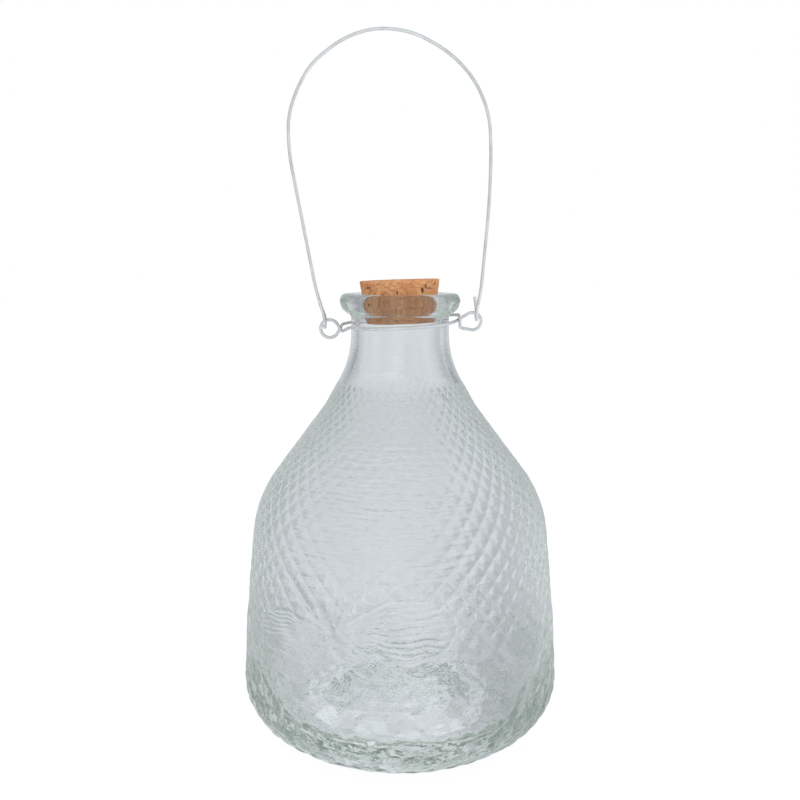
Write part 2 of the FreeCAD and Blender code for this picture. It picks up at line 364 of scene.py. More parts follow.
def diamonds(u, v, places):
    """Ridges, dimples and domes (0 to 1) of the slightly wandering diamonds."""
    a = u + v + DRIFT * wave_noise(places, DRIFT_LENGTH, 6, 11)
    b = u - v + DRIFT * wave_noise(places, DRIFT_LENGTH, 6, 12)
    ridge = np.maximum(1 - to_ridge(a) / RIDGE_WIDTH, 1 - to_ridge(b) / RIDGE_WIDTH)
    ridge = np.clip(ridge, 0, 1) ** RIDGE_SHARPNESS
    centre = np.hypot(0.5 - to_ridge(a), 0.5 - to_ridge(b))
    dimple = np.exp(-(centre / DIMPLE_WIDTH) ** 2)
    dome = np.sin(math.pi * to_ridge(a)) * np.sin(math.pi * to_ridge(b))
    return ridge, dimple, dome


def foot_cover(height, theta):
    """How far the foot's domes take the lattice's place (0 to 1), higher up at the sides and the back."""
    lift = FOOT_LIFT * smoothstep(0.5, 1.1, np.abs(theta))
    return 1 - smoothstep(FOOT_FROM + lift, FOOT_TO + FOOT_SPREAD * lift, height)


def ripple_relief(places, worn):
    """Relief (mm) of the ripples left by the mould, stronger where the lattice is worn."""
    relief, added, length = FINE_RIPPLE
    fine = (relief + added * worn) * wave_noise(places * (1, 1, RIPPLE_FLATNESS), length, 12, 14)
    relief, added, length = BROAD_RIPPLE
    broad = (relief + added * worn) * wave_noise(places, length, 8, 15)
    return fine + broad


def crown_relief(places, height, theta):
    """Relief (mm) of the uneven marks under the plain neck."""
    marks = sum(np.exp(-((theta - middle) / reach) ** 2) for middle, reach in CROWN_MARKS)
    band = np.exp(-((height - CROWN_HEIGHT) / CROWN_REACH) ** 2)
    return band * CROWN_RELIEF * wave_noise(places * CROWN_STRETCH, CROWN_LENGTH, 10, 16) * marks


class LatticeRows:
    """Places the lattice's mesh rows along the outline and gives the relief there."""

    def __init__(self, outline):
        self.outline = outline
        self.foot = outline.first(lambda r, z: r >= LATTICE_FOOT)
        self.top = outline.first(lambda r, z: z >= LATTICE_TOP)
        self.samples = np.linspace(self.foot, self.top, RISE_SAMPLES)
        radius, _ = outline.at(self.samples)
        rate = 1 / (CELL_BASE + CELL_GROWTH * radius)
        step = self.samples[1] - self.samples[0]
        rise = np.concatenate([[0.0], np.cumsum((rate[1:] + rate[:-1]) / 2 * step)])
        self.rows = int(round(rise[-1] * 2 * FINE))
        self.height = self.rows / (2 * FINE)
        self.rise = rise * self.height / rise[-1]

    def length(self, v):
        """Path length at lattice height v."""
        return np.interp(v, self.rise, self.samples)

    def border(self, v, theta):
        """Distance to the lattice's nearer border, in diamonds, counted faster below the upper one."""
        in_front = smoothstep(-0.3, 0.5, np.cos(theta))
        haste = TOP_HASTE[0] + (TOP_HASTE[1] - TOP_HASTE[0]) * in_front
        return np.minimum(v, (self.height - v) * haste)

    def relief(self, u, v, radius, height, theta):
        """Relief of the outside (mm) at lattice coordinates u round the bottle and v up it."""
        places = around(radius, theta, height)
        border = self.border(v, theta)
        ridge, dimple, dome = diamonds(u, v, places)
        figure, cover = insect(theta * INSECT_RADIUS, height)
        worn = 1 - smoothstep(WORN_FROM, WORN_TO, height)
        cell = CELL_BASE + CELL_GROWTH * radius
        lattice = cell * (RIDGE_SHARE * (ridge - RIDGE_SUNK) - DIMPLE_SHARE * dimple)
        lattice *= (1 - WORN_LOSS * worn) * (1 - FIGURE_LOSS * cover)
        foot = foot_cover(height, theta)
        pattern = (1 - foot) * lattice + foot * FOOT_RELIEF * (dome - RIDGE_SUNK * dimple)
        ripples = ripple_relief(places, worn) + crown_relief(places, height, theta)
        edge = smoothstep(0, EDGE_FADE, border)
        return edge * (pattern + figure) + ripples * smoothstep(0, RIPPLE_BORDER, border)


def lattice_flat(rows):
    """The lattice zone as an even flat triangle mesh in (u, v), seam at the back; lattice_part later makes it
    finer where the insect is.
    """
    columns = CELLS_ROUND * FINE
    mesh = bmesh.new()
    grid = []
    for k in range(rows.rows + 1):
        v = k / (2 * FINE)
        start = -CELLS_ROUND / 2 + (k % 2) * 0.5 / FINE
        grid.append([mesh.verts.new((start + i / FINE, v, 0)) for i in range(columns)])
    for k in range(rows.rows):
        lower = grid[k]
        upper = grid[k + 1]
        for i in range(columns):
            j = next_round(i, columns)
            if k % 2 == 0:
                mesh.faces.new((lower[i], lower[j], upper[i]))
                mesh.faces.new((upper[i], lower[j], upper[j]))
            else:
                mesh.faces.new((lower[i], lower[j], upper[j]))
                mesh.faces.new((lower[i], upper[j], upper[i]))
    mesh.verts.index_update()
    return mesh, grid


def insect_edges(mesh, rows, outline):
    """Edges of the flat lattice mesh that lie under the insect."""
    chosen = []
    for edge in mesh.edges:
        middle = (edge.verts[0].co + edge.verts[1].co) / 2
        if abs(edge.verts[0].co.x - edge.verts[1].co.x) > 1:
            continue
        x = middle.x / CELLS_ROUND * 2 * math.pi * INSECT_RADIUS
        _, z = outline.at(rows.length(middle.y))
        if INSECT_SIDES[0] < x < INSECT_SIDES[1] and INSECT_HEIGHTS[0] < z < INSECT_HEIGHTS[1]:
            chosen.append(edge)
    return chosen


def plain_lengths(outline, start, end, steps):
    """Ring places from start to end: close together where the outline bends, far apart where it runs on."""
    fine, coarse = steps
    places = [start]
    while places[-1] < end:
        here = places[-1]
        n0 = np.array(outline.normal(here))
        n1 = np.array(outline.normal(min(here + coarse, end)))
        bend = math.acos(min(1.0, float(n0 @ n1)))
        step = np.clip(coarse * STEP_BEND / max(bend, 1e-3), fine, coarse)
        places.append(here + step)
    if end - places[-2] < 0.5 * fine:
        places.pop()
    places[-1] = end
    return np.array(places)


def plain_relief(points):
    """Slight waviness of the inside (mm): stronger low down, none in the neck."""
    height = points[:, 2]
    calm = 1 - smoothstep(CALM_FROM, CALM_TO, height)
    low = 1 - smoothstep(LOW_FROM, LOW_TO, height)
    sway = RING_WANDER * wave_noise(points, 50.0, 5, 21)
    rings = RING_RELIEF * np.sin(height * 2 * math.pi / RING_SPACING + sway)
    long_waves = LONG_RELIEF * wave_noise(points, LONG_LENGTH, 8, 22)
    short_waves = SHORT_RELIEF * low * wave_noise(points * (1, 1, 1.5), SHORT_LENGTH, 10, 23)
    return calm * (rings + long_waves + short_waves)


def draw_to_ridges(mesh, rows):
    """Moves the flat lattice's mesh lines to its ridges."""
    for vert in mesh.verts:
        u, v = vert.co.x, vert.co.y
        border = min(v, rows.height - v)
        share = min(1.0, border / WARP_BORDER)
        a = warp(u + v)
        b = warp(u - v)
        vert.co.x += share * ((a + b) / 2 - u)
        vert.co.y += share * ((a - b) / 2 - v)


def lattice_part(rows, outline):
    """The lattice zone's points and faces on the glass, and the vertices of its first and last row."""
    mesh, grid = lattice_flat(rows)
    first_row = [vert.index for vert in grid[0]]
    last_row = [vert.index for vert in grid[-1]]
    draw_to_ridges(mesh, rows)
    bmesh.ops.subdivide_edges(mesh, edges=insect_edges(mesh, rows, outline), cuts=1, use_grid_fill=True)
    bmesh.ops.triangulate(mesh, faces=[face for face in mesh.faces if len(face.verts) > 3])
    mesh.verts.ensure_lookup_table()
    mesh.verts.index_update()
    flat = np.array([vert.co[:] for vert in mesh.verts])
    faces = [[vert.index for vert in face.verts] for face in mesh.faces]
    mesh.free()

    u = flat[:, 0]
    v = flat[:, 1]
    theta = u / CELLS_ROUND * 2 * math.pi
    length = rows.length(v)
    radius, height = outline.at(length)
    out_r, out_z = outline.normal(length)
    relief = rows.relief(u, v, radius, height, theta)
    points = around(radius + relief * out_r, theta, height + relief * out_z)
    return points, faces, first_row, last_row


def plain_rings(outline, places, start):
    """Rings of points on the smooth glass at path lengths, and their vertices, numbered from start."""
    rim = outline.lengths[int(np.argmax(outline.points[:, 1]))]
    angles = (np.arange(PLAIN_COLUMNS) / PLAIN_COLUMNS - 0.5) * 2 * math.pi
    points = []
    rings = []
    for place in places:
        length = np.full(PLAIN_COLUMNS, place)
        radius, height = outline.at(length)
        if place > rim:
            shift = plain_relief(around(radius, angles, height))
            out_r, out_z = outline.normal(length)
            radius = radius + shift * out_r
            height = height + shift * out_z
        points.append(around(radius, angles, height))
        rings.append(list(range(start, start + PLAIN_COLUMNS)))
        start += PLAIN_COLUMNS
    return points, rings


def ring_faces(rings):
    """Four-sided faces between neighbouring smooth rings."""
    faces = []
    for lower, upper in zip(rings[:-1], rings[1:]):
        for i in range(PLAIN_COLUMNS):
            j = next_round(i, PLAIN_COLUMNS)
            faces.append([lower[i], lower[j], upper[j], upper[i]])
    return faces


def joint_faces(ring_below, first_row, last_row, ring_above):
    """Faces that join the lattice's first and last row to the coarser rings below and above."""
    columns = CELLS_ROUND * FINE
    ratio = columns // PLAIN_COLUMNS
    faces = []
    for i in range(PLAIN_COLUMNS):
        j = next_round(i, PLAIN_COLUMNS)
        below = [first_row[(ratio * i + k) % columns] for k in range(ratio + 1)]
        above = [last_row[(ratio * i + k) % columns] for k in range(ratio + 1)]
        faces.append([ring_below[i], ring_below[j], below[-1]] + below[-2::-1])
        faces.append(above + [ring_above[j], ring_above[i]])
    return faces


def cap_faces(foot_ring, floor_ring, foot_middle, floor_middle):
    """Fans that close the underside and the inside's floor."""
    faces = []
    for i in range(PLAIN_COLUMNS):
        j = next_round(i, PLAIN_COLUMNS)
        faces.append([foot_middle, foot_ring[j], foot_ring[i]])
        faces.append([floor_ring[i], floor_ring[j], floor_middle])
    return faces


def glass_bottle():
    """One closed pressed-glass body, with the lattice and insect outside and wavy smooth glass inside."""
    outline = Outline()
    rows = LatticeRows(outline)
    lattice, faces, first_row, last_row = lattice_part(rows, outline)
    foot_places = plain_lengths(outline, CAP_REACH, rows.foot - JOINT_GAP, FOOT_STEPS)
    rest_end = outline.lengths[-1] - CAP_REACH
    rest_places = plain_lengths(outline, rows.top + JOINT_GAP, rest_end, REST_STEPS)
    foot_points, foot_rings = plain_rings(outline, foot_places, len(lattice))
    rest_points, rest_rings = plain_rings(outline, rest_places, foot_rings[-1][-1] + 1)
    faces += ring_faces(foot_rings)
    faces += ring_faces(rest_rings)
    faces += joint_faces(foot_rings[-1], first_row, last_row, rest_rings[0])
    middle = rest_rings[-1][-1] + 1
    faces += cap_faces(foot_rings[0], rest_rings[-1], middle, middle + 1)
    middles = np.array([[0.0, 0.0, PUNT_HEIGHT], [0.0, 0.0, FLOOR_HEIGHT]])
    verts = np.concatenate([lattice] + foot_points + rest_points + [middles])
    return mesh_object("glass_body", verts * MM, faces)


# ---- Cork mesh -----------------------------------------------------------------------------------------
CORK_TOP_RADIUS = 17.25
CORK_BOTTOM_RADIUS = 14.65
CORK_BASE = 179.1           # height of its lower end
CORK_HEIGHT = 18.1
CORK_ROUND = 0.5            # its edges
CORK_TILT = math.radians(1.8)
CORK_SEAT = 190.0           # height of the line about which it is tilted
CORK_COLUMNS = 192
CORK_STEP = 0.5             # mesh spacing down the side
CORK_DISCS = 28             # rings on each end
GRAIN_BASE, GRAIN_DEPTH, GRAIN_LENGTH = 0.06, 0.05, 1.4
PIT_COUNT = 150
PITS_ON_SIDE = 0.6          # share of them on the side, the others on the ends
PIT_SIZES = (0.15, 0.42)
PIT_DEPTHS = (0.1, 0.45)
PIT_TALLNESS = (0.6, 2.2)
PIT_RAGGEDNESS, PIT_RAG_LENGTH = 0.35, 1.6
# Deep pits on the front: (angle from the front in degrees, height on the cork, size, depth).
DEEP_PITS = [(-53.5, 15.0, 0.5, 0.9), (36.0, 13.8, 0.62, 1.0), (43.0, 14.3, 0.35, 0.8)]
DEEP_PIT_TALLNESS = 1.3


def cork_radius(height):
    """Radius of the tapered side at a height on the cork."""
    return CORK_BOTTOM_RADIUS + (CORK_TOP_RADIUS - CORK_BOTTOM_RADIUS) * height / CORK_HEIGHT


def cork_section():
    """The cork's outline as (radius, height), from the middle of its lower end to that of its top."""
    corner = 0.3 * CORK_ROUND
    discs = np.linspace(0.0, 1.0, CORK_DISCS)[1:]
    section = [((CORK_BOTTOM_RADIUS - CORK_ROUND) * share, 0.0) for share in discs]
    section += [(CORK_BOTTOM_RADIUS - corner, corner), (CORK_BOTTOM_RADIUS, CORK_ROUND)]
    for height in np.arange(2 * CORK_ROUND, CORK_HEIGHT - CORK_ROUND, CORK_STEP):
        section.append((cork_radius(height), height))
    section.append((CORK_TOP_RADIUS - corner, CORK_HEIGHT - corner))
    section += [((CORK_TOP_RADIUS - CORK_ROUND) * share, CORK_HEIGHT) for share in discs[::-1]]
    return np.array(section)


def pit_places():
    """Every pit as (angle, radius, height, size, depth, tallness)."""
    random = np.random.default_rng(41)
    pits = []
    for _ in range(PIT_COUNT):
        angle = random.uniform(-math.pi, math.pi)
        size = random.uniform(*PIT_SIZES)
        depth = random.uniform(*PIT_DEPTHS)
        if random.random() < PITS_ON_SIDE:
            height = random.uniform(CORK_ROUND, CORK_HEIGHT - CORK_ROUND)
            radius = cork_radius(height)
        else:
            height = CORK_HEIGHT * random.integers(0, 2)
            radius = CORK_BOTTOM_RADIUS * math.sqrt(random.random())
        pits.append((angle, radius, height, size, depth, random.uniform(*PIT_TALLNESS)))
    for degrees, height, size, depth in DEEP_PITS:
        pits.append((math.radians(degrees), cork_radius(height), height, size, depth, DEEP_PIT_TALLNESS))
    return pits


def cork_pits(points):
    """Depth (mm) and strength (0 to 1) of the pits at points on the cork."""
    depth_at = np.zeros(len(points))
    strength = np.zeros(len(points))
    ragged = 1 + PIT_RAGGEDNESS * wave_noise(points, PIT_RAG_LENGTH, 10, 42)
    for angle, radius, height, size, depth, tall in pit_places():
        centre = np.array([radius * math.sin(angle), -radius * math.cos(angle), height])
        away = (points - centre) * (1, 1, 1 / tall)
        fill = np.exp(-(np.linalg.norm(away, axis=1) * ragged / size) ** 4)
        depth_at = np.maximum(depth_at, depth * fill)
        strength = np.maximum(strength, np.clip(fill * (0.4 + 1.2 * depth), 0, 1))
    return depth_at, strength


def cork_surface(section):
    """Points of the pitted and grained cork, ring by ring and then its two middles, and their pits."""
    angles = np.arange(CORK_COLUMNS) / CORK_COLUMNS * 2 * math.pi
    radius = np.repeat(section[:, 0], CORK_COLUMNS)
    height = np.repeat(section[:, 1], CORK_COLUMNS)
    turn = np.tile(angles, len(section))
    points = around(radius, turn, height)
    depth, strength = cork_pits(points)
    depth = depth + GRAIN_BASE + GRAIN_DEPTH * np.clip(wave_noise(points, GRAIN_LENGTH, 12, 43), -1, 1)
    from_end = np.minimum(height, CORK_HEIGHT - height)
    on_side = smoothstep(0.0, 0.8 * CORK_ROUND, from_end)
    radius = radius - depth * on_side
    height = height + depth * (1 - on_side) * np.where(height > CORK_HEIGHT / 2, -1, 1)
    middles = [[0.0, 0.0, GRAIN_BASE], [0.0, 0.0, CORK_HEIGHT - GRAIN_BASE]]
    return np.concatenate([around(radius, turn, height), middles]), strength


def cork_faces(ring_count):
    """Faces between the cork's rings and the fans that close its ends."""
    faces = []
    for row in range(ring_count - 1):
        for i in range(CORK_COLUMNS):
            j = next_round(i, CORK_COLUMNS)
            low = row * CORK_COLUMNS
            faces.append([low + i, low + j, low + CORK_COLUMNS + j, low + CORK_COLUMNS + i])
    last = (ring_count - 1) * CORK_COLUMNS
    bottom = ring_count * CORK_COLUMNS
    for i in range(CORK_COLUMNS):
        j = next_round(i, CORK_COLUMNS)
        faces.append([bottom, j, i])
        faces.append([last + i, last + j, bottom + 1])
    return faces


def tilted(verts):
    """The cork's points in their place in the mouth, slightly crooked."""
    x, y, z = (verts + (0, 0, CORK_BASE - CORK_SEAT)).T
    tilted_x = x * math.cos(CORK_TILT) - z * math.sin(CORK_TILT)
    tilted_z = x * math.sin(CORK_TILT) + z * math.cos(CORK_TILT) + CORK_SEAT
    return np.stack([tilted_x, y, tilted_z], axis=1)


def cork_stopper():
    """The tapered cork, with pits and a rough grain cut into it, pushed in slightly crooked."""
    section = cork_section()
    verts, strength = cork_surface(section)
    made = mesh_object("cork_body", tilted(verts) * MM, cork_faces(len(section)))
    pit = made.data.attributes.new("pit", "FLOAT", "POINT")
    pit.data.foreach_set("value", list(strength) + [0.0, 0.0])
    return made


def mesh_object(name, verts, faces, smooth=True):
    """New mesh object in the scene."""
    data = bpy.data.meshes.new(name)
    data.from_pydata([tuple(v) for v in verts], [], faces)
    data.validate()
    if smooth:
        data.polygons.foreach_set("use_smooth", [True] * len(data.polygons))
    made = bpy.data.objects.new(name, data)
    bpy.context.scene.collection.objects.link(made)
    return made


# ---- Materials -----------------------------------------------------------------------------------------
class Nodes:
    """Short way to write the node tree of a material or a world."""

    def __init__(self, owner):
        owner.use_nodes = True
        self.owner = owner
        self.tree = owner.node_tree
        self.shader = self.find("BSDF_PRINCIPLED", "BACKGROUND")
        self.output = self.find("OUTPUT_MATERIAL", "OUTPUT_WORLD")

    def find(self, *kinds):
        return next(node for node in self.tree.nodes if node.type in kinds)

    def add(self, kind, inputs=(), **settings):
        node = self.tree.nodes.new(kind)
        for key, value in settings.items():
            setattr(node, key, value)
        for key, value in dict(inputs).items():
            self.set(node, key, value)
        return node

    def set(self, node, key, value):
        if isinstance(value, bpy.types.NodeSocket):
            self.tree.links.new(value, node.inputs[key])
        else:
            node.inputs[key].default_value = value

    def out(self, key, value):
        self.set(self.shader, key, value)

    def place(self, kind="Object"):
        return self.add("ShaderNodeTexCoord").outputs[kind]

    def parts(self, vector):
        return self.add("ShaderNodeSeparateXYZ", {0: vector}).outputs

    def camera_ray(self):
        return self.add("ShaderNodeLightPath").outputs["Is Camera Ray"]

    def ramp(self, factor, stops):
        node = self.add("ShaderNodeValToRGB", {0: factor})
        elements = node.color_ramp.elements
        while len(elements) > 1:
            elements.remove(elements[-1])
        elements[0].position = stops[0][0]
        elements[0].color = (*stops[0][1], 1)
        for position, colour in stops[1:]:
            elements.new(position).color = (*colour, 1)
        return node.outputs["Color"]

    def noise(self, vector, scale, detail=3.0, rough=0.5):
        inputs = {"Vector": vector, "Scale": scale, "Detail": detail, "Roughness": rough}
        return self.add("ShaderNodeTexNoise", inputs).outputs["Fac"]

    def math(self, operation, a, b=0.0, c=0.0):
        return self.add("ShaderNodeMath", {0: a, 1: b, 2: c}, operation=operation).outputs[0]

    def span(self, value, low, high, to_low, to_high):
        inputs = {"Value": value, "From Min": low, "From Max": high, "To Min": to_low, "To Max": to_high}
        return self.add("ShaderNodeMapRange", inputs, interpolation_type="SMOOTHSTEP").outputs["Result"]

    def stretch(self, vector, shares):
        return self.add("ShaderNodeVectorMath", {0: vector, 1: shares}, operation="MULTIPLY").outputs[0]

    def scale(self, colour, share):
        node = self.add("ShaderNodeVectorMath", {0: colour, "Scale": share}, operation="SCALE")
        return node.outputs[0]

    def mix(self, factor, a, b, blend="MIX"):
        node = self.add("ShaderNodeMix", data_type="RGBA", blend_type=blend)
        self.set(node, 0, factor)
        self.set(node, 6, a)
        self.set(node, 7, b)
        return node.outputs[2]

    def bump(self, height, strength, distance):
        node = self.add("ShaderNodeBump", {"Height": height, "Strength": strength, "Distance": distance})
        return node.outputs["Normal"]


def new_material(name):
    return Nodes(bpy.data.materials.new(name))


def grey(value):
    return (value, value, value)


# Fine ripples of the glass: scales per metre, and spans (m) with the strengths at their two ends.
STREAK_SCALE = 560.0        # sideways streaks on the upper body
STREAK_STRETCH = 0.15       # how much slower they change sideways
STREAK_RISE = (0.072, 0.096, 0.8, 7.0)
STREAK_SHOULDER = (0.105, 0.125, 1.0, 0.6)
STREAK_MIDDLE = -0.008      # they are strongest here, and fade with the distance from it
STREAK_SPREAD = (0.016, 0.042, 1.0, 0.22)
PEBBLE_SCALE = 240.0        # pebbles all over
PEBBLE_STRETCH = (0.95, 0.95, 1.2)
PEBBLE_RISE = (0.030, 0.080, 1.1, 1.0)
NECK_CALM = (0.142, 0.154, 1.0, 0.08)
FOOT_SCALES = 190.0         # small scales on the foot
FOOT_SCALE_DEPTH = 7.0
FOOT_TOP = (0.030, 0.058, 0.017, 0.037)     # their upper limit, from the middle to the sides
FOOT_BLEND = 0.008
RIPPLE_STRENGTH, RIPPLE_DEPTH = 0.5, 0.0003
GLASS_TINT = (0.46, 0.55, 0.47, 1)
GLASS_DENSITY = 15.0
CAUGHT_LIGHT = (0.29, 0.32, 0.31, 1)
MOST_REFLECTIONS, MOST_BOUNCES = 3.5, 11.5  # paths past these count as caught in the glass


def glass_ripples(nodes, place):
    """Height of the fine ripples, next to none on the neck.

    Sideways streaks cover the upper body, pebbles the whole body, and small scales the foot.
    """
    x, y, z = nodes.parts(place)
    # The streaks shift with the radius, so that those of the two faces of the wall don't cancel out.
    radius = nodes.math("SQRT", nodes.math("ADD", nodes.math("MULTIPLY", x, x), nodes.math("MULTIPLY", y, y)))
    rise = nodes.math("SUBTRACT", z, radius)
    sideways = nodes.math("MULTIPLY", x, STREAK_STRETCH)
    flow = nodes.add("ShaderNodeCombineXYZ", {0: sideways, 2: rise}).outputs[0]
    from_middle = nodes.math("ABSOLUTE", nodes.math("SUBTRACT", x, STREAK_MIDDLE))
    strength = nodes.math("MULTIPLY", nodes.span(z, *STREAK_RISE), nodes.span(z, *STREAK_SHOULDER))
    strength = nodes.math("MULTIPLY", strength, nodes.span(from_middle, *STREAK_SPREAD))
    streaks = nodes.math("MULTIPLY", nodes.noise(flow, STREAK_SCALE), strength)
    pebbles = nodes.noise(nodes.stretch(place, PEBBLE_STRETCH), PEBBLE_SCALE)
    ripples = nodes.math("MULTIPLY_ADD", pebbles, nodes.span(z, *PEBBLE_RISE), streaks)
    scales = nodes.add("ShaderNodeTexVoronoi", {"Vector": place, "Scale": FOOT_SCALES}).outputs["Distance"]
    foot_top = nodes.span(nodes.math("ABSOLUTE", x), *FOOT_TOP)
    foot = nodes.span(z, nodes.math("SUBTRACT", foot_top, FOOT_BLEND), foot_top, -FOOT_SCALE_DEPTH, 0.0)
    body = nodes.span(z, *NECK_CALM)
    return nodes.math("MULTIPLY_ADD", scales, foot, nodes.math("MULTIPLY", ripples, body))


def glass_material():
    """Clear soda-lime glass, grey-green where it is thick."""
    nodes = new_material("pressed_glass")
    place = nodes.place()
    cloud = nodes.noise(place, 30.0)
    nodes.out("Base Color", nodes.ramp(cloud, [(0.3, (0.965, 0.98, 0.98)), (0.7, (0.985, 0.99, 0.99))]))
    nodes.out("Transmission Weight", 1.0)
    nodes.out("IOR", 1.5)
    nodes.out("Roughness", nodes.math("MULTIPLY", nodes.noise(place, 60.0), 0.03))
    nodes.out("Normal", nodes.bump(glass_ripples(nodes, place), RIPPLE_STRENGTH, RIPPLE_DEPTH))
    inside = nodes.add("ShaderNodeVolumeAbsorption", {"Color": GLASS_TINT, "Density": GLASS_DENSITY})
    nodes.set(nodes.output, "Volume", inside.outputs[0])
    # Light caught between the walls, which the renderer would drop as black, leaves as dim grey-green.
    path = nodes.add("ShaderNodeLightPath").outputs
    caught = nodes.math("GREATER_THAN", path["Glossy Depth"], MOST_REFLECTIONS)
    lost = nodes.math("GREATER_THAN", path["Ray Depth"], MOST_BOUNCES)
    nodes.out("Emission Color", CAUGHT_LIGHT)
    nodes.out("Emission Strength", nodes.math("MAXIMUM", caught, lost))
    nodes.owner.cycles.emission_sampling = "NONE"
    return nodes.owner


def cork_material():
    """Natural cork: warm tan with a fibrous grain, darker flecks and brown pits."""
    nodes = new_material("natural_cork")
    place = nodes.place()
    broad = nodes.noise(place, 140.0, 4.0, 0.6)
    grain = nodes.noise(nodes.stretch(place, (1.0, 1.0, 2.2)), 520.0, 5.0, 0.65)
    fleck = nodes.noise(place, 1100.0, 3.0, 0.6)
    tan = nodes.ramp(broad, [
        (0.3, (0.56, 0.225, 0.085)),
        (0.5, (0.72, 0.345, 0.15)),
        (0.7, (0.82, 0.44, 0.21)),
    ])
    tan = nodes.mix(nodes.ramp(grain, [(0.36, grey(0.75)), (0.54, grey(0.0))]), tan, (0.40, 0.16, 0.065, 1))
    tan = nodes.mix(nodes.ramp(fleck, [(0.30, grey(0.8)), (0.42, grey(0.0))]), tan, (0.20, 0.075, 0.03, 1))
    pit = nodes.add("ShaderNodeAttribute", attribute_name="pit").outputs["Fac"]
    tan = nodes.mix(nodes.span(pit, 0.1, 0.7, 0.0, 0.92), tan, (0.10, 0.032, 0.012, 1))
    nodes.out("Base Color", tan)
    nodes.out("Roughness", nodes.span(grain, 0.3, 0.7, 0.92, 0.72))
    nodes.out("Specular IOR Level", 0.3)
    nodes.out("Normal", nodes.bump(nodes.math("ADD", grain, fleck), 0.5, 0.0006))
    return nodes.owner


def wire_material():
    """Galvanised wire: bright zinc with a fine bumpy grain and dull patches."""
    nodes = new_material("galvanised_wire")
    place = nodes.place()
    dull = nodes.noise(place, 180.0, 4.0)
    nodes.out("Base Color", nodes.ramp(dull, [(0.35, (0.76, 0.78, 0.77)), (0.65, (0.93, 0.95, 0.94))]))
    nodes.out("Metallic", 0.66)
    nodes.out("Roughness", nodes.ramp(dull, [(0.3, grey(0.42)), (0.7, grey(0.22))]))
    nodes.out("Normal", nodes.bump(nodes.noise(place, 1500.0, 2.0), 0.15, 0.0001))
    return nodes.owner


# ---- Studio --------------------------------------------------------------------------------------------
SURROUND = (0.637, 0.657, 0.692)       # light that the glass and the wires gather from all round
MOTTLE = 0.50               # how uneven it is away from the horizon
MIDDLE = 0.12               # height from which the unevenness of the floor is measured out
DIFFUSE_LIFT = 1.0          # how much more of it matt surfaces gather
CONTACT_RING = 0.050        # radius of the shaded ring on the floor where the bottle stands
CONTACT_SHADE = 0.10
FOOT_SHARE = 1.14           # brightness of the floor inside that ring, seen through many faces
NEAR_SHARE = 0.96           # and of the floor round the bottle
OVERHEAD = 0.78             # how bright it is overhead
LEFT_SHARE, RIGHT_SHARE = 0.60, 0.66    # and towards the sides
FAR_RIGHT_GAIN = 1.4        # how much brighter again it is at the far right
FLOOR_GLOW = 0.93           # white that the floor shows the camera, apart from its share of the light
FLOOR_ALBEDO = 0.12
FLOOR_REACH = 4.0
AIM_HEIGHT = 0.13           # the lights face the axis here
CAMERA_LENS = 37.76         # mm
CAMERA_DISTANCE = 0.3639
CAMERA_HEIGHT = 0.20345
CAMERA_DIP = math.radians(9.14)
# Spans of a heading's parts (sine of height, or sideways), with the factors at their two ends.
OVERHEAD_SPAN = (0.18, 0.65, 1.0, OVERHEAD)
LEFT_SPAN = (-0.85, -0.18, LEFT_SHARE, 1.0)
RIGHT_SPAN = (0.12, 0.42, 1.0, RIGHT_SHARE)
FAR_RIGHT_SPAN = (0.50, 0.80, 1.0, FAR_RIGHT_GAIN)
MOTTLE_SPAN = (0.06, 0.15, 0.0, MOTTLE)
MOTTLE_BELOW = (-0.95, -0.55, 0.35, 1.0)    # less of it straight down
NEAR_SPAN = (-0.16, -0.06, NEAR_SHARE, 1.0)
PATCH_SCALE = 12.0          # size of the mottle's patches, which are wider than they are high
PATCH_STRETCH = (1.0, 1.0, 2.0)
PATCH_SPAN = (0.32, 0.68, -1.0, 1.0)
# Spans of the distance from the middle of the floor (m).
RING_SPAN = (0.0, 0.018, 1 - CONTACT_SHADE, 1.0)
FOOT_SPAN = (CONTACT_RING, 1.8 * CONTACT_RING, FOOT_SHARE, 1.0)


def uneven(nodes, heading):
    """Factor up to about 1 by heading, which clear glass needs to show its relief.

    It is dimmer towards the sides, and mottled away from the horizon.
    """
    patches = nodes.noise(nodes.stretch(heading, PATCH_STRETCH), PATCH_SCALE, 4.0, 0.65)
    swing = nodes.span(patches, *PATCH_SPAN)
    x, _, z = nodes.parts(heading)
    mottle = nodes.span(nodes.math("ABSOLUTE", z), *MOTTLE_SPAN)
    mottle = nodes.math("MULTIPLY", mottle, nodes.span(z, *MOTTLE_BELOW))
    right = nodes.math("MULTIPLY", nodes.span(x, *RIGHT_SPAN), nodes.span(x, *FAR_RIGHT_SPAN))
    sides = nodes.math("MULTIPLY", nodes.span(x, *LEFT_SPAN), right)
    return nodes.math("MULTIPLY", nodes.math("MULTIPLY_ADD", swing, mottle, 1.0), sides)


def lifted(nodes, share):
    """A brightness, raised for rays that come from a matt surface."""
    matt = nodes.math("GREATER_THAN", nodes.add("ShaderNodeLightPath").outputs["Diffuse Depth"], 0.5)
    return nodes.math("MULTIPLY", share, nodes.math("MULTIPLY_ADD", matt, DIFFUSE_LIFT, 1.0))


